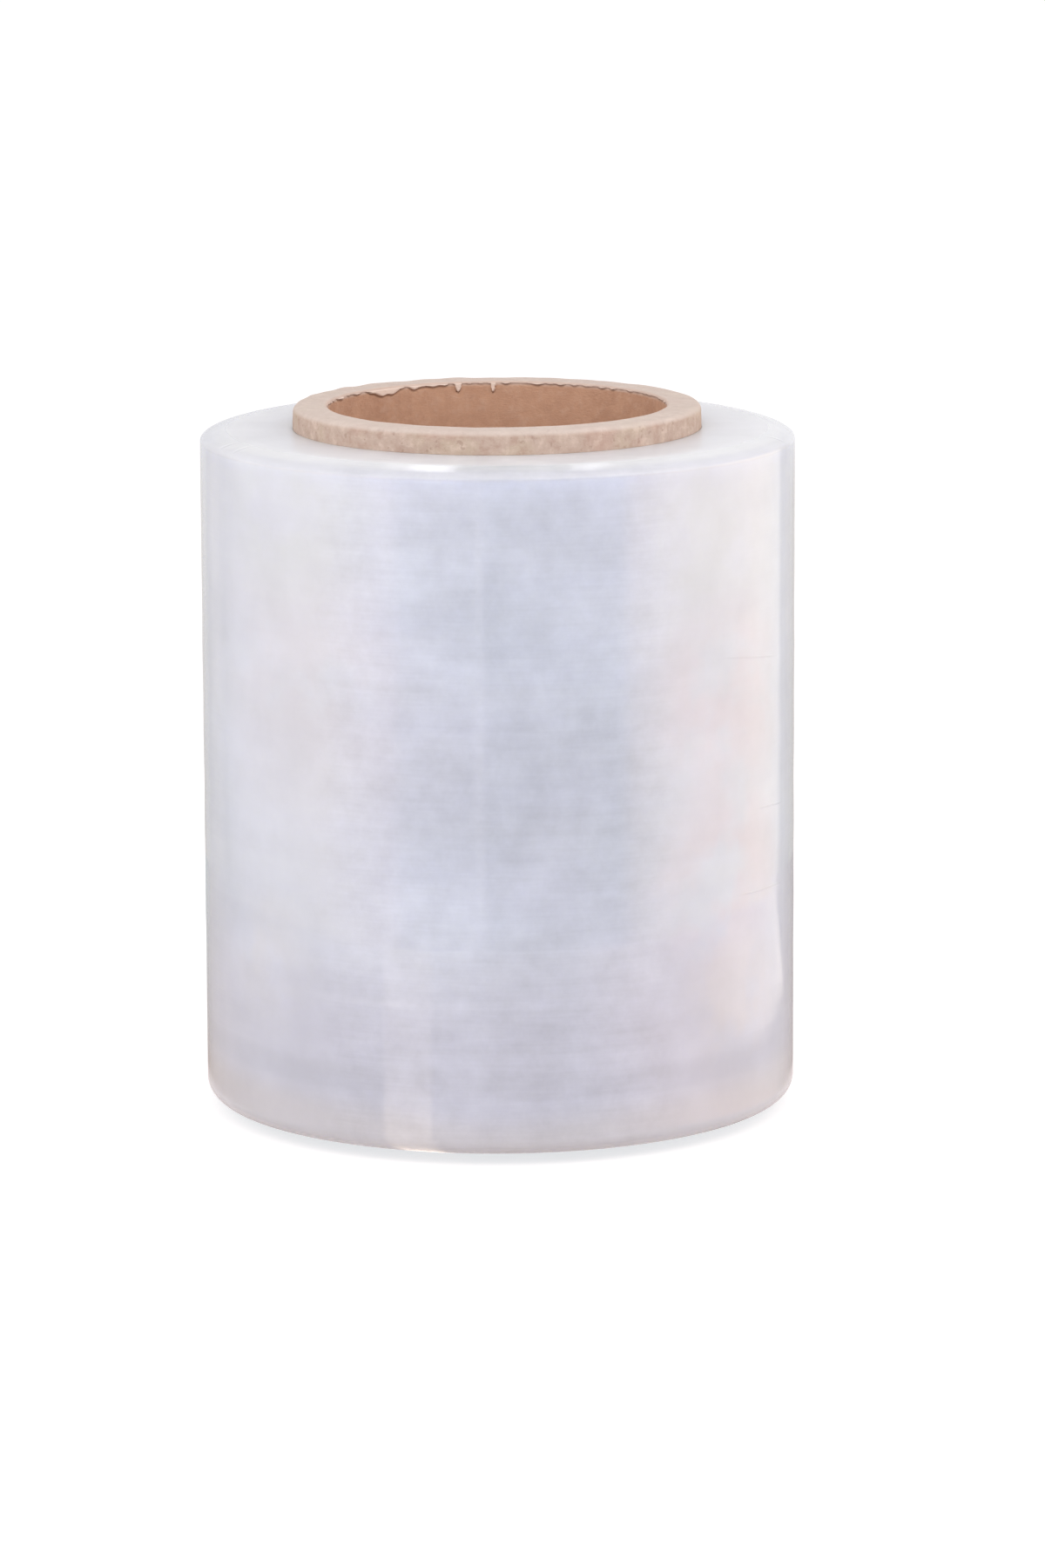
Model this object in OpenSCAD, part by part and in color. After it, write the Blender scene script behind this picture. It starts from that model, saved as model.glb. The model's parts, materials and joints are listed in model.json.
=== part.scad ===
// A roll of stretch film wound on a spiral-wound paper tube, standing on one end of the tube.
// Sizes are in millimetres. The tube's axis is Z and its foot is at z = 0.

/* [Paper tube] */
// Inside diameter of the tube, a 3 inch winding core
bore_d = 76.2; // [50:0.1:160]
// Thickness of the tube's wall
tube_wall = 7.75; // [4:0.05:14]
// How far the tube stands out of the film at the head
head_stand = 5.1; // [1.5:0.1:12]
// How far the tube stands out of the film at the foot
foot_stand = 2.5; // [1.2:0.1:12]
// Rounding of the outer corner of each cut end
rim_r = 1.5; // [0.4:0.1:2.5]
// Rounding of the corner between each cut end and the bore
mouth_r = 0.5; // [0.1:0.05:1]

/* [Wound film] */
// Width of the film web
web_w = 152.4; // [80:0.1:500]
// Thickness of the film wound on the tube
film_build = 20.95; // [10:0.05:60]
// Width of the rounding of the film's outer edge at the head, measured along the head
head_edge_w = 6; // [1:0.1:8]
// Height of that rounding, measured down the wall
head_edge_h = 2.6; // [1:0.1:5]
// Rounding of the film's outer edge at the foot
foot_edge_r = 4; // [1:0.1:5]

/* [Turns on the ends] */
// Mean spacing of the lines between groups of turns, which show on the two ends
turn_pitch = 1.15; // [0.8:0.05:3]
// Share by which that spacing wanders from line to line
turn_wander = 0.3; // [0:0.05:0.45]
// How far a group of turns stands out of the end, or lies back from it
turn_shift = 0.08; // [0:0.01:0.2]
// Depth of the line between two groups
turn_line_d = 0.12; // [0.05:0.01:0.3]
// Width of the line between two groups
turn_line_w = 0.34; // [0.1:0.01:0.4]

/* [Hoops and tail] */
// Swell of the hoops where the film runs a little thick
hoop_rise = 0.08; // [0:0.01:0.3]
// Spacing of the hoops along the roll
hoop_pitch = 19.5; // [8:0.5:60]
// Step at the end of the last turn, with the air caught under it
tail_step = 0.12; // [0.05:0.01:0.4]
// Direction of that end round the axis, where 270 is the front
tail_angle = 65; // [0:1:359]

/* [Hidden] */

tube_r = bore_d / 2 + tube_wall;
tube_l = foot_stand + web_w + head_stand;
roll_r = tube_r + film_build;
web_foot = foot_stand;
web_head = foot_stand + web_w;

// The lines start half a spacing out from the tube and stop short of the edge's rounding.
first_line = tube_r + turn_pitch / 2;
last_line = roll_r - tail_step - max(head_edge_w, foot_edge_r) - turn_line_w;
line_count = floor((last_line - first_line) / turn_pitch);

wall_steps = 2 * ceil(web_w / 6);
edge_steps = 8;
head_phase = 20;
foot_phase = 200;
overcut = 1;

// Distance from the axis of the k-th line between two groups of turns.
function line_r(k) = first_line + turn_pitch * (k + turn_wander * sin(k * 97) / 2);

// How far the k-th group stands out of its end. The last group is level with the edge's rounding.
function stand_out(k, phase) = k < line_count ? turn_shift * sin(k * 137 + phase) : 0;

// The k-th line in section, from its inner lip over its bottom to its outer lip, as [distance, height].
function line_section(k, phase) =
    let (inner = stand_out(k, phase), outer = stand_out(k + 1, phase)) [
        [line_r(k) - turn_line_w / 2, inner],
        [line_r(k), min(inner, outer) - turn_line_d],
        [line_r(k) + turn_line_w / 2, outer]
    ];

// An arc of a profile, in even steps from one angle to the other. The arc is w wide and h high from its centre.
function arc(centre, w, h, from, to, steps) =
    [for (k = [0:steps]) let (a = from + (to - from) * k / steps)
        centre + [w * cos(a), h * sin(a)]];

// Swell of the wound wall at height z over the web's foot. It dies out towards both edges.
function swell(z) =
    let (fade = sin(180 * z / web_w))
    hoop_rise * fade * (sin(360 * z / hoop_pitch) + 0.5 * sin(360 * z / (hoop_pitch * 2.3) + 40)) / 1.5;

// One cut paper tube: a plain wall with the outer corners worn round and the bore's corners eased.
module paper_tube()
    color("burlywood")
    rotate_extrude($fn = 180)
    union() {
        translate([bore_d / 2 + mouth_r, 0])
            square([tube_wall - mouth_r - rim_r, tube_l]);
        translate([bore_d / 2, mouth_r])
            square([mouth_r, tube_l - 2 * mouth_r]);
        translate([tube_r - rim_r, rim_r])
            square([rim_r, tube_l - 2 * rim_r]);
        for (z = [mouth_r, tube_l - mouth_r])
            translate([bore_d / 2 + mouth_r, z]) circle(r = mouth_r, $fn = 24);
        for (z = [rim_r, tube_l - rim_r])
            translate([tube_r - rim_r, z]) circle(r = rim_r, $fn = 32);
    }

// Half section of the wound film: lines and groups on both ends, rounded edges and swelling hoops.
// The turns lie further out by grow, as they do later in the winding.
module film_section(grow)
    translate([grow, 0])
    polygon(concat(
        [[tube_r - overcut, web_foot - stand_out(0, foot_phase)]],
        [for (k = [0:line_count - 1], p = line_section(k, foot_phase))
            [p.x, web_foot - p.y]],
        arc([roll_r - foot_edge_r, web_foot + foot_edge_r], foot_edge_r, foot_edge_r, -90, 0, edge_steps),
        [for (k = [1:wall_steps - 1])
            let (z = foot_edge_r + (web_w - foot_edge_r - head_edge_h) * k / wall_steps)
            [roll_r + swell(z), web_foot + z]],
        arc([roll_r - head_edge_w, web_head - head_edge_h], head_edge_w, head_edge_h, 0, 90, edge_steps),
        [for (k = [line_count - 1:-1:0], i = [2:-1:0])
            let (p = line_section(k, head_phase)[i])
            [p.x, web_head + p.y]],
        [[tube_r - overcut, web_head + stand_out(0, head_phase)]]
    ));

// The winding as a spiral of two half turns. Each half turn's axis lies a quarter step beside the tube's,
// so the film gains half a step over it, and the last turn ends one step further out than it began.
module winding()
    rotate([0, 0, tail_angle])
    for (side = [0, 1])
        rotate([0, 0, 180 * side])
        translate([-tail_step / 4, 0, 0])
        rotate_extrude(angle = 180, $fn = 180)
        film_section(tail_step * (side / 2 - 3 / 4));

// All the turns of film, tight on the tube.
module film_roll()
    color("lavender")
    difference() {
        winding();
        translate([0, 0, web_foot - overcut])
            cylinder(r = tube_r, h = web_w + 2 * overcut, $fn = 180);
    }

paper_tube();
film_roll();
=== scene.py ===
import json
import math

import bpy
import numpy as np
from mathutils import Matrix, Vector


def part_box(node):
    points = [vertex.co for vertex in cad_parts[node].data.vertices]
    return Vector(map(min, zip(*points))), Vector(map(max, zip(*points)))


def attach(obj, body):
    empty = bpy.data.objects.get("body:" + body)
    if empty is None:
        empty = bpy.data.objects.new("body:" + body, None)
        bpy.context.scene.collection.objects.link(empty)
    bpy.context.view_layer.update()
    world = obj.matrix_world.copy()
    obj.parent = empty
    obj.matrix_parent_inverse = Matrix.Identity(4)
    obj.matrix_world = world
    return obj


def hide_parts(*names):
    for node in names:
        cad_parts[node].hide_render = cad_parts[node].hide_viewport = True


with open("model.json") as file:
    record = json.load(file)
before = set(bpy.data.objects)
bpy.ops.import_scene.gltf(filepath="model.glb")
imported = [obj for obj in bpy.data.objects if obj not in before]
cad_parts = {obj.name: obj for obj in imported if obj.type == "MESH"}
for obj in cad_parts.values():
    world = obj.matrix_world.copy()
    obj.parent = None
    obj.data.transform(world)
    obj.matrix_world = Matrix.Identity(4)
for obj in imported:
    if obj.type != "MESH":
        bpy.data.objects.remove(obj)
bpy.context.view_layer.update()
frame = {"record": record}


# Paper tube.
# The winding core is one tube of brown board, wound on a slant from narrow plies that are glued together.
# It was cut square with a knife, which wore the outer corner round and left a ragged lip of fibres on the
# bore.

tube_foot, tube_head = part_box("paper_tube")
film_foot, film_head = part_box("film_roll")
tube_r = tube_head.x
bore_r = frame["record"]["mounts"][0]["dims"]["r_mm"] / 1000
tube_wall = tube_r - bore_r

# Roundings of the outer corner and of the bore's corner, thickness of a ply, depth of the lines between the
# plies, and height of the waves in the cut end and in the outside.
rim_r = 0.0015
mouth_r = 0.0005
ply = 0.0005
ply_line = 0.00003
cut_wave = 0.00006
board_wave = 0.00004
# The lip of fibres on the bore: how far it stands in, how far it hangs down and the height over which it
# thins out. The bore has a shallow hollow below it, which a painted shadow fills.
lip_proud = 0.00045
lip_drop = 0.0005
lip_fade = 0.00025
hollow_height = 0.0007
hollow_depth = 0.00012
# The stretch of the bore below the cut end that has close rows, for the lip.
lip_reach = 0.006

# What hangs from the far side of the lip: direction round the axis in degrees, half width in degrees and
# length. The first two are a long flap of torn ply, and the other two are tufts.
torn_bits = (
    (133, 7.0, 0.0011),
    (122, 15.0, 0.0005),
    (103.5, 1.1, 0.0017),
    (91.3, 0.8, 0.0022),
)
# A nick in the outer corner of the cut end: direction in degrees, half width in degrees and depth.
rim_nick = (342.8, 1.3, 0.0006)

# Browns of the board: two for its body, and then what lies over them.
board_deep = (0.430, 0.308, 0.254, 1)
board_pale = (0.515, 0.403, 0.339, 1)
ochre = (0.480, 0.385, 0.290, 1)
russet = (0.470, 0.305, 0.250, 1)
mottle_pale = (0.74, 0.60, 0.52, 1)
mottle_deep = (0.33, 0.195, 0.140, 1)
fibre_pale = (0.62, 0.47, 0.38, 1)
fleck_deep = (0.26, 0.155, 0.11, 1)
# The bore, painted darker and redder as shade and light bounced round in it, and its far side, painted
# lighter where the light reaches.
bore_shade_deep = (0.400, 0.200, 0.120, 1)
bore_shade_pale = (0.565, 0.320, 0.205, 1)
bore_lit = (0.620, 0.350, 0.225, 1)
# The cut end, the torn fibres, and the painted shadow in the hollow under them.
cut_pale = (0.63, 0.54, 0.495, 1)
torn_pale = (0.84, 0.68, 0.59, 1)
hollow_shadow = (0.20, 0.10, 0.06, 1)
# How far the bore's colour reaches into the wall, and the heights over which the cut end's colour sets in.
bore_reach = 0.0010
cut_stretch = (tube_head.z - 0.0013, tube_head.z - 0.0004)


def crowd(count, places):
    """count angles once round, in even steps of the running total of a density. The density is 1 plus a bell
    curve at each place, and a place is a direction and a width in degrees and a height."""
    fine = np.linspace(0, 2 * np.pi, 20001)
    density = np.ones_like(fine)
    for degrees, width, height in places:
        away = np.angle(np.exp(1j * (fine - math.radians(degrees))))
        density += height * np.exp(-(away / math.radians(width)) ** 2)
    total = np.concatenate([[0], np.cumsum(density[1:] + density[:-1])])
    return np.interp(np.arange(count) / count * total[-1], total, fine)


def outline(*stretches):
    """Joins stretches of a section into one closed line. A stretch is rows of a distance from the axis and a
    height."""
    return np.concatenate(stretches)


def straight(start, end, count):
    """count even points from start towards end, without the end."""
    share = (np.arange(count) / count)[:, None]
    return (1 - share) * np.array(start) + share * np.array(end)


def corner(centre, radius, start, end, count):
    """count points on an arc round centre, from one angle in degrees towards the other, without the last.
    The radius is one number, or a width and a height."""
    angle = np.radians(start + (end - start) * np.arange(count) / count)
    return np.array(centre) + np.array(radius) * np.stack([np.cos(angle), np.sin(angle)], axis=1)


def waves(rng, around, along, count, turns, cycles):
    """Smooth random waves on a grid: a sum of count sines, scaled to a root mean square of 1. Each has a
    random phase, a whole number of waves round the axis, up to turns, and up to cycles waves per unit of
    along."""
    total = np.zeros(np.broadcast_shapes(around.shape, along.shape))
    for _ in range(count):
        lobes = rng.integers(0, turns + 1)
        rate = rng.uniform(-cycles, cycles)
        total += np.sin(lobes * around + 2 * np.pi * rate * along + rng.uniform(0, 2 * np.pi))
    return total / math.sqrt(count / 2)


def object_of(name, points, faces):
    """A new object with these points and faces, in the scene."""
    mesh = bpy.data.meshes.new(name)
    mesh.from_pydata(points, [], faces)
    made = bpy.data.objects.new(name, mesh)
    bpy.context.scene.collection.objects.link(made)
    return made


def ring_mesh(name, angle, radius, height):
    """A closed ring: the point [i, j] of the grid lies at radius [i, j] from the axis, in the direction angle
    [i, j], at height [i, j]. Rows go round the section and columns round the axis, and both close."""
    rows, columns = radius.shape
    points = np.stack([radius * np.cos(angle), radius * np.sin(angle), height], axis=-1)
    index = np.arange(rows * columns).reshape(rows, columns)
    right = np.roll(index, -1, axis=1)
    up = np.roll(index, -1, axis=0)
    up_right = np.roll(right, -1, axis=0)
    quads = np.stack([index, right, up_right, up], axis=-1).reshape(-1, 4)
    made = object_of(name, points.reshape(-1, 3), quads)
    made.data.polygons.foreach_set("use_smooth", np.ones(len(quads), bool))
    made.data.update()
    return made


def point_values(piece, name, values):
    """Keeps one number for each point of the piece, in the order of its grid, for its material to read."""
    attribute = piece.data.attributes.new(name, "FLOAT", "POINT")
    attribute.data.foreach_set("value", values.astype(np.float32).ravel())


def make_tube():
    """The section runs up the bore, over the head, down the outside and over the foot. The lip is the part of
    the bore down to drop below the cut end: lip_drop with waves on it, and half an ellipse for each torn
    bit."""
    foot, head = tube_foot.z, tube_head.z
    section = outline(
        straight((bore_r, foot + mouth_r), (bore_r, head - lip_reach), 26),
        straight((bore_r, head - lip_reach), (bore_r, head - mouth_r), 44),
        corner((bore_r + mouth_r, head - mouth_r), mouth_r, 180, 90, 6),
        straight((bore_r + mouth_r, head), (tube_r - rim_r, head), 30),
        corner((tube_r - rim_r, head - rim_r), rim_r, 90, 0, 10),
        straight((tube_r, head - rim_r), (tube_r, film_head.z - 0.001), 14),
        straight((tube_r, film_head.z - 0.001), (tube_r, foot + rim_r), 6),
        corner((tube_r - rim_r, foot + rim_r), rim_r, 0, -90, 6),
        straight((tube_r - rim_r, foot), (bore_r + mouth_r, foot), 12),
        corner((bore_r + mouth_r, foot + mouth_r), mouth_r, -90, -180, 4),
    )
    around = crowd(600, [(p[0], 5, 2) for p in torn_bits[2:]] + [(rim_nick[0], 3, 3)])[None, :]
    radius = np.repeat(section[:, :1], around.size, axis=1)
    height = np.repeat(section[:, 1:], around.size, axis=1)
    rng = np.random.default_rng(3)

    across = (section[:, :1] - bore_r) / tube_wall
    on_bore = section[:, :1] <= bore_r + 1e-6
    depth = head - section[:, 1:]

    drop = lip_drop * (1 + (0.38 - 0.14 * np.cos(around)) * waves(rng, around, np.zeros((1, 1)), 40, 90, 0))
    for degrees, half_width, length in torn_bits:
        away = np.degrees(np.angle(np.exp(1j * (around - math.radians(degrees)))))
        drop = drop + length * np.clip(1 - (away / half_width) ** 2, 0, 1) ** 0.5
    lip = np.clip((drop - depth) / lip_fade, 0, 1) * on_bore
    under = np.clip(1 - (depth - drop) / hollow_height, 0, 1) * (depth > drop) * on_bore
    # Right at the rim the lip stands in a little less.
    radius -= lip_proud * lip * (0.6 + 0.4 * np.clip(depth / 0.0004, 0, 1))
    radius += hollow_depth * under

    # The waves of the cut end die out over the quarter of the wall beside the bore.
    worn = waves(rng, around, across, 24, 40, 3)
    end_share = np.clip(1 - depth / rim_r, 0, 1) * (1 - on_bore)
    height += cut_wave * worn * end_share * np.clip(across * 4, 0, 1)
    plies = np.abs(np.sin(np.pi * (section[:, :1] - bore_r) / ply + 0.8 * np.sin(around)))
    height -= ply_line * (1 - plies) ** 3 * end_share
    radius += board_wave * waves(rng, around, depth * 200, 30, 30, 1.5) * (1 - on_bore)
    # The nick sets in at 0.6 of the wall's thickness and has its full depth from 0.85 on.
    away = np.degrees(np.angle(np.exp(1j * (around - math.radians(rim_nick[0])))))
    nicked = np.clip(1 - (away / rim_nick[1]) ** 2, 0, 1) * np.clip(across * 4 - 2.4, 0, 1)
    height -= rim_nick[2] * nicked * end_share

    piece = ring_mesh("paper_tube_board", np.broadcast_to(around, radius.shape), radius, height)
    # Above zero the lip of torn ply, which the material makes lighter; below zero the hollow under it, where
    # it paints a shadow.
    point_values(piece, "torn", lip - under)
    return piece


class Wire:
    """A value in a material. Arithmetic on it adds the Math nodes that work it out."""

    def __init__(self, tree, socket):
        self.tree = tree
        self.socket = socket

    def worked(self, operation, *values):
        """The result of one Math operation on the values."""
        return self.tree.node("ShaderNodeMath", {"operation": operation}, values)

    def __add__(self, other):
        return self.worked("ADD", self, other)

    def __radd__(self, other):
        return self.worked("ADD", other, self)

    def __sub__(self, other):
        return self.worked("SUBTRACT", self, other)

    def __rsub__(self, other):
        return self.worked("SUBTRACT", other, self)

    def __mul__(self, other):
        return self.worked("MULTIPLY", self, other)

    def __rmul__(self, other):
        return self.worked("MULTIPLY", other, self)

    def __truediv__(self, other):
        return self.worked("DIVIDE", self, other)

    def __pow__(self, other):
        return self.worked("POWER", self, other)

    def __abs__(self):
        return self.worked("ABSOLUTE", self)


class Tree:
    """The node tree of a material or of the world."""

    def __init__(self, owner):
        owner.use_nodes = True
        self.nodes = owner.node_tree.nodes
        self.links = owner.node_tree.links

    def plug(self, socket, value):
        """Sets a socket to a value, or links it to a wire."""
        if isinstance(value, Wire):
            self.links.new(value.socket, socket)
        else:
            socket.default_value = value

    def node(self, kind, settings=None, values=(), output=0):
        """Adds a node, sets its settings first and its sockets, by number or name, after them."""
        made = self.nodes.new(kind)
        for key, value in (settings or {}).items():
            setattr(made, key, value)
        sockets = values.items() if isinstance(values, dict) else enumerate(values)
        for place, value in sockets:
            self.plug(made.inputs[place], value)
        return Wire(self, made.outputs[output])

    def place(self):
        """The piece's own coordinates: x, y, z and the whole point."""
        point = self.node("ShaderNodeTexCoord", output="Object")
        split = self.node("ShaderNodeSeparateXYZ", values=(point,)).socket.node
        return [Wire(self, socket) for socket in split.outputs] + [point]

    def angle(self, across, along):
        """The direction of a place in radians, where 0 lies along and a quarter turn lies across."""
        return self.node("ShaderNodeMath", {"operation": "ARCTAN2"}, (across, along))

    def vector(self, x, y, z):
        """A point from its three coordinates."""
        return self.node("ShaderNodeCombineXYZ", values=(x, y, z))

    def noise(self, point, scale, detail=3.0, rough=0.55):
        """Smooth noise from 0 to 1."""
        values = {"Vector": point, "Scale": scale, "Detail": detail, "Roughness": rough}
        return self.node("ShaderNodeTexNoise", values=values)

    def ease(self, value, low, high):
        """0 below low, 1 above high and an even swing between them."""
        settings = {"interpolation_type": "SMOOTHSTEP"}
        return self.node("ShaderNodeMapRange", settings, {"Value": value, "From Min": low, "From Max": high})

    def mix(self, share, first, second, way="MIX"):
        """Blends two colours: first where share is 0 and second where it is 1, or another way of blending."""
        settings = {"data_type": "RGBA", "blend_type": way}
        return self.node("ShaderNodeMix", settings, {0: share, 6: first, 7: second}, output=2)


def finish_of(name):
    """A new material's tree and its main shader."""
    material = bpy.data.materials.new(name)
    tree = Tree(material)
    return material, tree, tree.nodes["Principled BSDF"]


def board_finish():
    """Brown board: soft blotches, mottles, fibres and flecks in several browns. It is painted darker and
    redder in the bore as shade and bounced light, with painted light on the bore's far side. It is paler and
    duller on the cut end, lighter where a ply is torn, and has a painted shadow in the hollow under the lip."""
    material, tree, shader = finish_of("brown_board")
    x, y, z, point = tree.place()
    away = (x * x + y * y) ** 0.5
    torn = tree.node("ShaderNodeAttribute", {"attribute_name": "torn"}, output="Fac")
    inside = 1 - tree.ease(away, bore_r, bore_r + bore_reach)
    cut = tree.ease(z, *cut_stretch)
    blotch = tree.noise(point, 130, 3)
    mottle = tree.noise(point, 380, 4, 0.65)
    fibre = tree.noise(tree.vector(x, y, z * 2.5), 1100, 3, 0.6)
    fleck = tree.ease(tree.noise(point, 560, 2), 0.62, 0.74)
    colour = tree.mix(blotch, board_deep, board_pale)
    colour = tree.mix(tree.ease(tree.noise(point, 95, 2), 0.48, 0.62) * 0.5, colour, ochre)
    colour = tree.mix(tree.ease(tree.noise(point, 85, 2), 0.52, 0.38) * 0.5, colour, russet)
    speckle = tree.ease(tree.noise(point, 300, 3, 0.65), 0.35, 0.65)
    # Painted shade in the bore, darker and redder, and painted light on its far side.
    bore_shaded_colour = tree.mix(blotch * 0.6 + speckle * 0.4, bore_shade_deep, bore_shade_pale)
    bore_shaded_colour = tree.mix(tree.ease(y, 0.026, 0.037) * 0.35, bore_shaded_colour, bore_lit)
    colour = tree.mix(inside, colour, bore_shaded_colour)
    plain = 1 - 0.75 * inside
    colour = tree.mix(tree.ease(mottle, 0.48, 0.72) * plain * 0.45, colour, mottle_pale)
    colour = tree.mix(tree.ease(mottle, 0.50, 0.30) * plain * 0.40, colour, mottle_deep)
    colour = tree.mix(fibre * 0.25, colour, fibre_pale)
    colour = tree.mix(fleck * plain * 0.4, colour, fleck_deep)
    colour = tree.mix(cut * 0.60, colour, cut_pale)
    colour = tree.mix(tree.ease(torn, 0, 1) * 0.85, colour, torn_pale)
    # A painted shadow in the hollow under the lip.
    colour = tree.mix(tree.ease(-1 * torn, 0.1, 0.9) * 0.6, colour, hollow_shadow)
    tree.plug(shader.inputs["Base Color"], colour)
    tree.plug(shader.inputs["Roughness"], 0.82 + 0.12 * blotch)
    shader.inputs["Specular IOR Level"].default_value = 0.25
    relief = fibre * 0.5 + mottle
    bump = tree.node("ShaderNodeBump", values={"Strength": 0.6, "Distance": 0.0003, "Height": relief})
    tree.plug(shader.inputs["Normal"], bump)
    return material


tube = make_tube()
tube.data.materials.append(board_finish())
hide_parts("paper_tube")
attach(tube, "root")


# Wound film.
# Some hundreds of turns of clear film, wound tight on the tube. Together they look milky, with a glossy wall.
# The turns show as fine hoops on the wall and as rings on both ends, where groups of turns lie a bit askew.

# The solid's groups of turns stand out of the mean planes of its ends by up to this much.
stand_out = 0.00008
film_r = (film_head - film_foot).y / 2
web_foot = film_foot.z + stand_out
web_head = film_head.z - stand_out
# Rounding of the head's edge, as its width along the head and its height down the wall, and of the foot's.
head_edge = (0.0090, 0.0026)
foot_edge_r = 0.0040
# Rings on the ends: spacing, depth of the grooves, and how far the groups of turns stand out.
ring_pitch = 0.0011
ring_line = 0.00001
ring_shift = 0.00001
# The stretch beside the tube over which the rings set in, and the one before the edge where they die out.
ring_start = 0.002
ring_stop = 0.005
# The wall: swell and spacing of its hoops, fine waves from turn to turn, and how far it is out of round.
hoop_rise = 0.00003
hoop_pitch = 0.0195
turn_wave = 0.000004
out_of_round = 0.00009
# The end of the last turn: height of its step, direction and width of the step in degrees, and how far its
# edge wanders and the reach of that round the axis, both in radians.
tail_step = 0.00012
tail_degrees = 65
tail_ramp = 0.35
tail_wander = 0.012
tail_reach = 0.12
# Greyer bands round the wall: height, half width and share of the brightness that they lose. The first two
# are painted reflections of the floor's shade near the roll.
grey_bands_and_shade = (
    (0.0185, 0.0040, 0.05),
    (0.0290, 0.0050, 0.02),
    (0.0680, 0.0040, 0.02),
)
# Soft patches of the wall: place, how far they stay at their strongest, how far they reach, and share of the
# brightness that they lose. The ones with a share below zero are brighter. The first is a painted reflection
# of the tent's dark opening in front, and the last two are painted highlights under the bright spots on the
# head's rounding.
soft_patches = (
    ((0.008, -0.0663, 0.0840), 0.010, 0.036, 0.05),
    ((-0.012, -0.0657, 0.0605), 0.004, 0.018, -0.07),
    ((0.015, -0.0650, 0.1430), 0.004, 0.018, 0.06),
    ((-0.016, -0.0650, 0.1450), 0.004, 0.012, 0.05),
    ((-0.013, -0.0655, 0.0820), 0.004, 0.018, 0.05),
    ((-0.005, -0.0666, 0.1220), 0.004, 0.014, 0.05),
    ((-0.043, -0.0510, 0.1015), 0.004, 0.018, 0.03),
    ((-0.056, -0.0355, 0.0400), 0.004, 0.014, -0.06),
    ((0.008, -0.0663, 0.0390), 0.008, 0.020, 0.05),
    ((0.043, -0.0510, 0.1020), 0.006, 0.018, 0.04),
    ((0.052, -0.0420, 0.0180), 0.004, 0.014, 0.06),
    ((-0.044, -0.0500, 0.0185), 0.004, 0.014, 0.04),
    ((0.011, -0.0655, 0.0150), 0.004, 0.012, 0.05),
    ((0.024, -0.0624, 0.1475), 0.003, 0.0075, -0.05),
    ((-0.024, -0.0624, 0.1475), 0.003, 0.0075, -0.035),
)
# Patches of another tint, all less blue: place, how far they stay at their strongest, how far they reach,
# share and colour. The last three are pinkish.
tints = (
    ((-0.043, -0.051, 0.108), 0.006, 0.040, 0.55, (0.660, 0.650, 0.725, 1)),
    ((-0.052, -0.042, 0.042), 0.004, 0.020, 0.6, (0.665, 0.665, 0.715, 1)),
    ((-0.047, -0.047, 0.145), 0.008, 0.032, 0.6, (0.655, 0.690, 0.740, 1)),
    ((0.044, -0.050, 0.138), 0.006, 0.024, 0.6, (0.655, 0.680, 0.735, 1)),
    ((0.051, -0.043, 0.100), 0.008, 0.030, 0.55, (0.715, 0.650, 0.730, 1)),
    ((0.051, -0.043, 0.060), 0.008, 0.030, 0.60, (0.715, 0.650, 0.730, 1)),
    ((0.053, -0.041, 0.033), 0.006, 0.022, 0.60, (0.715, 0.668, 0.692, 1)),
)
# Thin creases, a little askew to the turns: direction in degrees from the front, height, half length in
# degrees and rise for each degree.
creases = (
    (57.6, 0.1082, 11.0, -0.000145),
    (65.0, 0.0734, 6.5, -0.000090),
    (61.0, 0.0551, 10.5, -0.000040),
)
# Small nicks in the head's outer edge: direction in degrees, half width in degrees and depth. Their middle
# lies nick_under below the head, and nick_half is half their height.
nicks = (
    (201.2, 0.7, 0.0003),
    (207.6, 0.6, 0.0003),
    (345.0, 0.6, 0.0003),
)
nick_under = 0.0006
nick_half = 0.0009

# The milky violet grey of the film: two for its bands and one for its warmer stretches.
film_cool = (0.615, 0.660, 0.775, 1)
film_pale = (0.690, 0.731, 0.814, 1)
film_warm = (0.700, 0.685, 0.775, 1)
# The wall towards the foot, painted darker and warmer as shade; its rounding there; the head's rounding,
# painted greyer as shade; and the head from the tube to the edge, painted darker next to the tube as shade.
lower_wall_shade = (0.662, 0.653, 0.755, 1)
foot_grey = (0.675, 0.660, 0.705, 1)
shoulder_shade = (0.660, 0.655, 0.700, 1)
head_shaded_inner = (0.660, 0.655, 0.690, 1)
head_outer = (0.705, 0.700, 0.720, 1)

# Where one finish goes over into the next: a stretch of the distance from the axis, then stretches of height.
wall_stretch = (film_r - 0.0075, film_r - 0.0030)
brink_stretch = (web_foot + 0.0002, web_foot + 0.0032)
foot_stretch = (web_foot + 0.003, web_foot + 0.011)
lower_stretch = (0.026, 0.056)
shoulder_stretch = (web_head - 0.0032, web_head - 0.0018)
head_stretch = (web_head - 0.0012, web_head - 0.0003)
# A band of painted light, slightly lighter, right under the shoulder in front: its depth under the head and
# its half width.
painted_light_band = (0.0046, 0.003)


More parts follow.
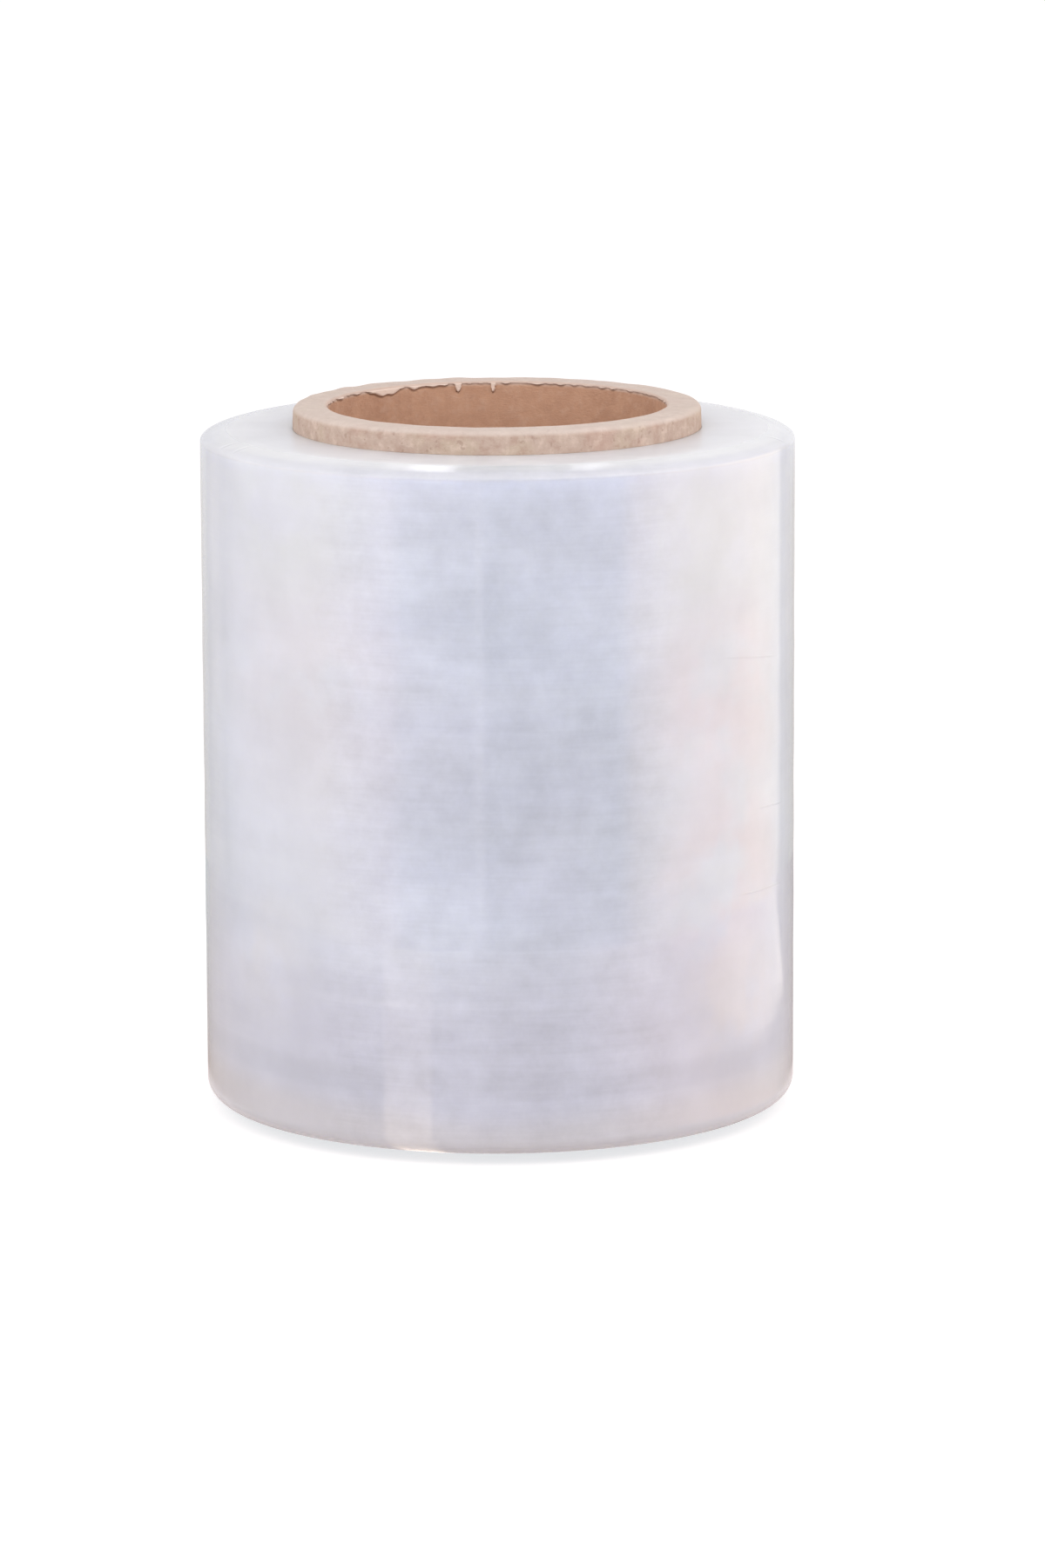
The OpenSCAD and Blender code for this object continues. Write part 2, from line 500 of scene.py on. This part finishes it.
def make_film():
    """The section runs out along the foot, up the wall, in along the head and down the tube. The wall swells
    in hoops. Its radius drops by tail_step where the last turn ends and grows back over a full turn. The ends
    have a shallow groove about every ring_pitch, and groups of turns that stand out a little."""
    section = outline(
        straight((tube_r, web_foot), (film_r - foot_edge_r, web_foot), 56),
        corner((film_r - foot_edge_r, web_foot + foot_edge_r), foot_edge_r, -90, 0, 12),
        straight((film_r, web_foot + foot_edge_r), (film_r, web_head - head_edge[1]), 196),
        corner((film_r - head_edge[0], web_head - head_edge[1]), head_edge, 0, 90, 48),
        straight((film_r - head_edge[0], web_head), (tube_r, web_head), 66),
        straight((tube_r, web_head), (tube_r, web_foot), 6),
    )
    around = crowd(256, [(tail_degrees, 1.2, 12)] + [(n[0], 1.5, 6) for n in nicks])[None, :]
    angle = np.repeat(around, len(section), axis=0)
    radius = np.repeat(section[:, :1], around.size, axis=1)
    height = np.repeat(section[:, 1:], around.size, axis=1)
    rng = np.random.default_rng(11)
    low = section[:, 1:] - web_foot
    width = web_head - web_foot
    outer = np.clip((section[:, :1] - film_r + head_edge[0]) / head_edge[0], 0, 1)
    outer = outer ** 2 * (3 - 2 * outer)
    end = np.clip((section[:, :1] - tube_r) / ring_start, 0, 1)
    end = end * np.clip((film_r - head_edge[0] - section[:, :1]) / ring_stop, 0, 1)

    fade = np.sin(np.pi * low / width)
    hoops = np.sin(2 * np.pi * low / hoop_pitch) + 0.5 * np.sin(2 * np.pi * low / (2.3 * hoop_pitch) + 0.7)
    radius += hoop_rise * fade * hoops * outer
    radius += turn_wave * waves(rng, around, low * 1000, 60, 3, 0.28) * outer
    radius += out_of_round * np.cos(2 * around + 0.6) * outer

    past_tail = np.mod(angle - math.radians(tail_degrees), 2 * np.pi)
    lag = np.clip(past_tail / math.radians(tail_ramp), 0, 1)
    radius -= tail_step * (lag - past_tail / (2 * np.pi)) * outer
    near_tail = np.exp(-(np.angle(np.exp(1j * (angle - math.radians(tail_degrees)))) / tail_reach) ** 2)
    angle = angle + near_tail * tail_wander * waves(rng, np.zeros((1, 1)), low * 10, 12, 0, 2.2)

    # The grooves lie off centre by 0.35 of their spacing, to opposite sides on the two ends.
    side = np.sign(low - width / 2)
    share = (section[:, :1] - tube_r) / ring_pitch
    drift = 0.35 * np.sin(around + 1.2) * side
    rings = waves(rng, around, share, 30, 0, 0.32)
    lines = (0.5 + 0.5 * np.cos(2 * np.pi * (share + 0.5 * np.sin(share * 0.9) + drift))) ** 4
    strength = 0.6 + 0.4 * waves(rng, around, share / 6, 20, 2, 1.0)
    height += side * end * (ring_shift * rings - ring_line * lines * strength)

    for degrees, half_width, depth in nicks:
        away = np.degrees(np.angle(np.exp(1j * (angle - math.radians(degrees)))))
        dent = np.clip(1 - (away / half_width) ** 2, 0, 1)
        top = np.clip(1 - np.abs(height - web_head + nick_under) / nick_half, 0, 1)
        radius -= depth * dent * top * outer
    return ring_mesh("film_roll_turns", angle, radius, height)


def film_finish():
    """Milky film: light goes some millimetres in. Fine streaks follow the turns, and soft clouds, patches,
    tints and greyer bands lie over them. In front the streaks and clouds are painted stronger, for the sheen
    that shows them there. One darker patch is a painted reflection of the tent's dark opening, two lighter
    patches are painted highlights, and the two lowest bands are painted reflections of the floor's shade. The
    wall is painted darker and warmer towards the foot as shade, greyer on its rounding there, and lighter
    there with painted light. A band of painted light lies under the head's rounding in front. The head's
    rounding is painted greyer and darker as shade, the head is painted darker next to the tube as shade, and
    the creases are painted darker as shade in them. The ends, where the edges of the turns lie side by side,
    are less glossy."""
    material, tree, shader = finish_of("stretch_film")
    x, y, z, point = tree.place()
    away = (x * x + y * y) ** 0.5
    run = z + away
    end = 1 - tree.ease(away, *wall_stretch)
    front = tree.ease(-1 * y / away, 0.76, 0.90)

    def streak(turns, thin, detail):
        """Noise that is drawn out along the turns and close across them."""
        return tree.noise(tree.vector(x / away * turns, y / away * turns, run * thin), 1, detail, 0.6)

    fine = streak(5, 1500, 2)
    thread = streak(3, 500, 2)
    band = streak(1.2, 90, 2)
    cloud = tree.noise(point, 130, 5, 0.68)
    warmth = tree.noise(point, 22, 1)
    patch = tree.noise(point, 48, 2)
    ragged = tree.ease(tree.noise(point, 60, 3), 0.32, 0.60)

    def spread(spot, strong, gone):
        """1 within strong of the spot, and 0 from gone on."""
        apart = tree.node("ShaderNodeVectorMath", {"operation": "DISTANCE"}, (point, spot), output=1)
        return 1 - tree.ease(apart, strong, gone)

    colour = tree.mix(band, film_cool, film_pale)
    colour = tree.mix(warmth * 0.5, colour, film_warm)
    # Painted shade: the wall darker and warmer towards the foot.
    lower = 1 - tree.ease(z, *lower_stretch)
    colour = tree.mix(lower * 0.5, colour, lower_wall_shade)
    for spot, strong, gone, share, tint in tints:
        colour = tree.mix(spread(spot, strong, gone) * ragged * share, colour, tint)
    low = 1 - tree.ease(z - 0.08 * abs(x), *foot_stretch)
    colour = tree.mix(low * 0.9, colour, foot_grey)
    # Painted shade: the head's rounding greyer and darker.
    shoulder = tree.ease(z, *shoulder_stretch)
    colour = tree.mix(shoulder * 0.9, colour, shoulder_shade)
    # Painted shade: the head darker and greyer next to the tube, lighter towards the edge.
    top = tree.ease(z, *head_stretch)
    head_grey_and_shade = tree.mix(tree.ease(away, tube_r, film_r), head_shaded_inner, head_outer)
    colour = tree.mix(top * 0.8, colour, head_grey_and_shade)
    # In front the streaks and clouds are painted stronger, standing in for the sheen that shows them there.
    level = 1 + (0.01 + 0.07 * front) * (fine - 0.5) + (0.02 + 0.08 * front) * (thread - 0.5)
    level = level + (0.10 + 0.22 * front) * (cloud - 0.5) + 0.20 * (patch - 0.5)
    # Painted light: a lighter band under the shoulder in front.
    under = (z - web_head + painted_light_band[0]) / painted_light_band[1]
    level = level + 0.035 * front * (1 - tree.ease(under ** 2, 0, 1))
    # Painted shade darkens the head's rounding, and painted light lightens the brink at the foot.
    level = level - 0.09 * shoulder * (1 - top) + 0.32 * (1 - tree.ease(z, *brink_stretch))
    # Soft patches, among them a painted reflection and two painted highlights.
    for spot, strong, gone, share in soft_patches:
        level = level - share * spread(spot, strong, gone)
    turn = tree.angle(x, -1 * y) * (180 / math.pi)
    crease = 0
    for degrees, height, half, rise in creases:
        apart = abs(turn - degrees)
        line = abs(z - rise * (turn - degrees) - height)
        crease = crease + (1 - tree.ease(line, 0.00005, 0.00035)) * (1 - tree.ease(apart, 0.5 * half, half))
    # The creases are bumped, and painted darker as shade in them.
    level = level - 0.05 * crease
    # Greyer bands; the lowest two are painted reflections of the floor's shade.
    wander = z + 0.004 * (warmth - 0.5)
    for height, half, share in grey_bands_and_shade:
        level = level - share * (1 - tree.ease(((wander - height) / half) ** 2, 0, 1))
    colour = tree.node("ShaderNodeVectorMath", {"operation": "SCALE"}, {"Vector": colour, "Scale": level})
    tree.plug(shader.inputs["Base Color"], colour)
    tree.plug(shader.inputs["Roughness"], 0.05 + 0.10 * fine + 0.25 * end)
    shader.inputs["IOR"].default_value = 1.5
    shader.inputs["Subsurface Weight"].default_value = 1.0
    shader.inputs["Subsurface Radius"].default_value = (1.0, 1.0, 1.1)
    shader.inputs["Subsurface Scale"].default_value = 0.003
    tree.plug(shader.inputs["Coat Weight"], 1 - 0.8 * end)
    shader.inputs["Coat Roughness"].default_value = 0.03
    shader.inputs["Coat IOR"].default_value = 1.5
    relief = (fine * 0.6 + thread + band * 1.5 + crease * 2) * (1 - 0.9 * top)
    bump = tree.node("ShaderNodeBump", values={"Strength": 1.0, "Distance": 0.00002, "Height": relief})
    tree.plug(shader.inputs["Normal"], bump)
    return material


film = make_film()
film.data.materials.append(film_finish())
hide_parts("film_roll")
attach(film, "root")


# Floor, light and camera.
# The roll stands on a plain pale floor in soft light from both sides and above.
# Round it stands a ring tent that only reflections see, for what the gloss of the film shows of the room.

def panels(tree, turn, stops):
    """The glow round the axis, which goes evenly from each stop to the next. turn is 0 at the back, 0.5 in
    front and 1 at the back again."""
    ramp = tree.node("ShaderNodeValToRGB", values=(turn,)).socket.node
    elements = ramp.color_ramp.elements
    elements.remove(elements[1])
    for degrees, glow in stops:
        stop = elements[0] if degrees == -180 else elements.new(0.5 + degrees / 360)
        stop.position = 0.5 + degrees / 360
        stop.color = (*glow, 1)
    return Wire(tree, ramp.outputs["Color"])


# What the gloss sees of the floor near the roll, by direction in degrees from the front: an orange glow on
# the right, and a faint one round the rest.
floor_stops = (
    (-180, (0.25, 0.26, 0.27)),
    (-170, (0.22, 0.24, 0.26)),
    (-158, (0.12, 0.20, 0.23)),
    (-140, (0.10, 0.11, 0.12)),
    (-115, (0.12, 0.09, 0.08)),
    (-60, (0.20, 0.10, 0.05)),
    (-28, (0.10, 0.03, 0.0)),
    (24, (0.0, 0.0, 0.0)),
    (50, (0.50, 0.18, 0.03)),
    (64, (0.55, 0.22, 0.05)),
    (76, (0.45, 0.24, 0.10)),
    (92, (0.22, 0.16, 0.12)),
    (110, (0.12, 0.10, 0.10)),
    (150, (0.05, 0.06, 0.08)),
    (166, (0.02, 0.04, 0.08)),
    (175, (0.22, 0.23, 0.24)),
    (180, (0.25, 0.26, 0.27)),
)
# Half the floor's side, its colour, and the glow that lifts it towards white for the camera.
floor_half = 6.0
floor_grey = (0.42, 0.38, 0.36, 1)
floor_seen = (0.70, 0.72, 0.74, 1)
# Glows of lit places: the open floor in front, the floor at the right, and a wedge left of the front.
open_glow = (1.0, 0.98, 0.98, 1)
right_glow = (0.55, 0.50, 0.45, 1)
left_glow = (1.20, 1.00, 0.80, 1)
# The glow that the gloss sees on the floor right under the roll's edge: at the middle and at the sides.
under_middle = (0.60, 0.55, 0.56, 1)
under_sides = (0.40, 0.36, 0.37, 1)


def floor_finish():
    """Pale floor. The camera sees it lifted towards white, and the gloss sees the glow of floor_stops with
    the lit and the shaded places over it. The lit wedge at the left lies between two straight borders."""
    material, tree, shader = finish_of("pale_floor")
    x, y = tree.place()[:2]
    away = (x * x + y * y) ** 0.5
    turn = tree.angle(x, -1 * y) / (2 * math.pi) + 0.5
    glow = panels(tree, turn, floor_stops)
    open_floor = tree.ease(away, 0.215, 0.245) * (1 - tree.ease(y, -0.02, 0.10))
    open_floor = open_floor * (0.35 + 0.65 * tree.ease(x, -0.030, -0.060))
    open_floor = open_floor * (1 - 0.7 * tree.ease(x, 0.020, 0.060))
    glow = tree.mix(open_floor * 0.55, glow, open_glow, "ADD")
    right_light = tree.ease(x, 0.125, 0.155) * tree.ease(y, -0.07, 0)
    right_light = right_light * (1 - tree.ease(turn, 0.842, 0.855))
    glow = tree.mix(right_light, glow, right_glow, "ADD")
    under = 1 - tree.ease(away, 0.074, 0.084)
    glow = tree.mix(under, glow, tree.mix(tree.ease(abs(x), 0.030, 0.055), under_middle, under_sides))
    left_light = tree.ease(0.697 * x - 0.717 * y, 0.024, 0.028)
    left_light = left_light * (1 - tree.ease(0.894 * x - 0.448 * y, 0.0134, 0.0174))
    left_light = left_light * (1 - 0.6 * tree.ease(away, 0.120, 0.155))
    glow = tree.mix(left_light, glow, left_glow, "ADD")
    path = tree.node("ShaderNodeLightPath").socket.node
    by_camera = Wire(tree, path.outputs["Is Camera Ray"])
    by_gloss = Wire(tree, path.outputs["Is Glossy Ray"])
    shader.inputs["Base Color"].default_value = floor_grey
    shader.inputs["Roughness"].default_value = 0.9
    shader.inputs["Specular IOR Level"].default_value = 0.0
    tree.plug(shader.inputs["Emission Color"], tree.mix(by_camera, glow, floor_seen))
    tree.plug(shader.inputs["Emission Strength"], by_camera + by_gloss)
    return material


floor_corners = [(-floor_half, -floor_half, 0), (floor_half, -floor_half, 0),
                 (floor_half, floor_half, 0), (-floor_half, floor_half, 0)]
floor = object_of("floor", floor_corners, [(0, 1, 2, 3)])
floor.data.materials.append(floor_finish())

# The room is white to the camera and the gloss. Its light on the roll is room_light times a share, which is
# low_light at the level and high_loss less right overhead.
room_light = 0.96
low_light = 1.12
high_loss = 0.45
world = bpy.data.worlds.new("studio")
bpy.context.scene.world = world
sky = Tree(world)
path = sky.node("ShaderNodeLightPath").socket.node
seen = Wire(sky, path.outputs["Is Camera Ray"])
seen = seen.worked("MAXIMUM", seen, Wire(sky, path.outputs["Is Glossy Ray"]))
seen = seen.worked("MAXIMUM", seen, Wire(sky, path.outputs["Is Transmission Ray"]))
background = sky.nodes["Background"]
sky.plug(background.inputs["Color"], (1, 1, 1, 1))
overhead = sky.place()[2]
light = room_light * (low_light - high_loss * overhead)
sky.plug(background.inputs["Strength"], light + (1 - light) * seen)


def tent_wall():
    """A ring wall: each column is one direction round the axis, and its rows run from the floor to the top.
    One flat face closes the top."""
    around = np.linspace(0, 2 * np.pi, 97)[:-1]
    low, high = np.zeros_like(around), np.full_like(around, tent_high)
    x, y = tent_r * np.cos(around), tent_r * np.sin(around)
    points = np.concatenate([np.stack([x, y, low], axis=1), np.stack([x, y, high], axis=1)])
    index = np.arange(around.size)
    after = np.roll(index, -1)
    quads = np.stack([index, after, after + around.size, index + around.size], axis=1)
    return object_of("tent_wall", points, quads.tolist() + [(index + around.size).tolist()])


# The tent, which only the gloss sees. Each stop is a direction in degrees from the front, and the glow there.
# Low down are a dark opening in front, a bright panel on each side and a grey back wall.
# Higher up the glow is softer, with two windows in the back, and the top is dim.
tent_r = 0.30
tent_high = 0.60
low_stops = (
    (-180, (0.66, 0.65, 0.64)),
    (-146, (0.70, 0.68, 0.67)),
    (-139, (0.62, 0.60, 0.60)),
    (-131, (0.72, 0.68, 0.65)),
    (-120, (0.64, 0.60, 0.56)),
    (-104, (1.05, 0.92, 0.84)),
    (-64, (1.85, 1.50, 1.10)),
    (-38, (1.40, 1.10, 1.05)),
    (-33, (0.80, 0.70, 0.72)),
    (-9, (0.48, 0.44, 0.48)),
    (-6.5, (0.95, 0.89, 0.95)),
    (-4, (0.25, 0.25, 0.30)),
    (42, (0.22, 0.22, 0.22)),
    (48, (0.90, 0.60, 0.28)),
    (63, (1.60, 1.18, 0.65)),
    (106, (1.60, 1.30, 0.90)),
    (127, (1.08, 1.02, 0.92)),
    (131, (0.64, 0.61, 0.58)),
    (180, (0.66, 0.65, 0.64)),
)
high_stops = (
    (-180, (0.60, 0.58, 0.56)),
    (-105, (0.80, 0.78, 0.76)),
    (-50, (0.90, 0.87, 0.84)),
    (-24, (0.55, 0.54, 0.54)),
    (7, (0.50, 0.50, 0.50)),
    (38, (0.80, 0.78, 0.76)),
    (80, (1.10, 1.04, 0.98)),
    (110, (0.90, 0.86, 0.82)),
    (180, (0.60, 0.58, 0.56)),
)
# The windows in the tent's back, by the direction of the place on the shoulder that shows them.
window_stops = (
    (-180, (0.82, 0.81, 0.81)),
    (-50, (0.80, 0.79, 0.79)),
    (-30, (0.74, 0.73, 0.73)),
    (-25, (0.74, 0.73, 0.73)),
    (-24, (0.85, 0.83, 0.82)),
    (-19.5, (0.90, 0.88, 0.88)),
    (-18.5, (1.38, 1.37, 1.40)),
    (-10.5, (1.38, 1.37, 1.40)),
    (-9.5, (0.85, 0.83, 0.81)),
    (-8.5, (0.28, 0.28, 0.29)),
    (3, (0.28, 0.28, 0.29)),
    (4.5, (0.44, 0.44, 0.44)),
    (15.5, (0.50, 0.50, 0.50)),
    (16.5, (1.12, 1.11, 1.14)),
    (23.5, (1.12, 1.11, 1.14)),
    (24.5, (0.76, 0.74, 0.73)),
    (29, (0.70, 0.69, 0.68)),
    (50, (0.84, 0.83, 0.83)),
    (180, (0.82, 0.81, 0.81)),
)
top_glow = (0.60, 0.60, 0.62)
# The wall right behind the roll, which the flat of the head and its back edge show, at the left and at the
# right.
behind_glow = ((0.73, 0.73, 0.76), (0.83, 0.83, 0.85))
# Heights over which the wall behind sets in, and over which the low stops go over into the high ones.
behind_stretch = (0.095, 0.125)
high_stretch = (0.205, 0.265)


def tent_finish():
    """The tent's glow, by direction and height: the low stops, the wall behind, the high stops, the windows
    and the top. The windows spread with height, to keep their places on the curve of the shoulder."""
    material, tree, _ = finish_of("tent_wall")
    x, y, z = tree.place()[:3]
    turn = tree.angle(x, -1 * y) / (2 * math.pi) + 0.5
    behind = tree.ease(z, *behind_stretch) * tree.ease(y, 0.20, 0.27)
    back = tree.mix(tree.ease(x, -0.03, 0.05), *((*glow, 1) for glow in behind_glow))
    glow = tree.mix(behind, panels(tree, turn, low_stops), back)
    aside = tree.angle(x, y) / (2 * math.pi) / (0.24 + 1.72 * (z - 0.262)) + 0.5
    windows = panels(tree, aside, window_stops)
    high = tree.mix(tree.ease(y, 0.02, 0.12), panels(tree, turn, high_stops), windows)
    glow = tree.mix(tree.ease(z, *high_stretch), glow, high)
    glow = tree.mix(tree.ease(z, tent_high - 0.05, tent_high), glow, (*top_glow, 1))
    higher = 0.92 + 0.16 * tree.ease(z, 0, 0.12)
    lit = tree.node("ShaderNodeEmission", values={"Color": glow, "Strength": higher})
    tree.plug(tree.nodes["Material Output"].inputs["Surface"], lit)
    return material


tent = tent_wall()
tent.data.materials.append(tent_finish())
tent.visible_camera = False
tent.visible_diffuse = False
tent.visible_transmission = False
tent.visible_volume_scatter = False
tent.visible_shadow = False


def softbox(name, spot, aim, size, watts, colour):
    """A rectangular lamp at spot that shines towards aim, and that neither the camera nor the gloss sees."""
    data = bpy.data.lights.new(name, "AREA")
    data.shape = "RECTANGLE"
    data.size, data.size_y = size
    data.energy = watts
    data.color = colour
    lamp = bpy.data.objects.new(name, data)
    lamp.location = spot
    way = Vector(aim) - Vector(spot)
    lamp.rotation_euler = way.to_track_quat("-Z", "Y").to_euler()
    lamp.visible_camera = False
    lamp.visible_glossy = False
    bpy.context.scene.collection.objects.link(lamp)


# A large lamp stands on each side, and a smaller and fainter one above the front.
roll_middle = (0, 0, 0.08)
softbox("left_panel", (-0.7, -0.05, 0.35), roll_middle, (1.2, 0.8), 2.4, (1.0, 1.0, 0.97))
softbox("right_panel", (0.7, 0.05, 0.35), roll_middle, (1.2, 0.8), 3.2, (1.0, 0.95, 0.91))
softbox("front_panel", (0, -0.40, 0.42), (0, 0, 0.14), (0.6, 0.3), 1.00, (0.97, 0.98, 1.0))

# The camera looks down a little from the front, on the middle of the film. Its lens and place were worked
# out from the outlines of the bore, the rim, the head and the foot, and its shift puts the roll in its place
# in the picture.
camera_away = 1.581
camera_degrees = 10.72
sensor_mm = 36
focal_px = 8011
image_w, image_h = 1200, 1800
roll_px = (572.8, 871.8)
camera_roll = -0.28
aim = np.array([0, 0, (web_foot + web_head) / 2])
tilt = math.radians(camera_degrees)

camera_data = bpy.data.cameras.new("camera")
camera_data.sensor_width = sensor_mm
camera_data.lens = focal_px / image_h * sensor_mm
camera_data.shift_x = (image_w / 2 - roll_px[0]) / image_h
camera_data.shift_y = (roll_px[1] - image_h / 2) / image_h
camera_data.clip_start = 0.05
camera_data.clip_end = 50
camera = bpy.data.objects.new("camera", camera_data)
camera.location = aim + camera_away * np.array([0, -math.cos(tilt), math.sin(tilt)])
camera.rotation_euler = (math.pi / 2 - tilt, 0, 0)
camera.rotation_euler.rotate_axis("Z", math.radians(camera_roll))
bpy.context.scene.collection.objects.link(camera)
bpy.context.scene.camera = camera
bpy.context.scene.view_settings.view_transform = "Standard"
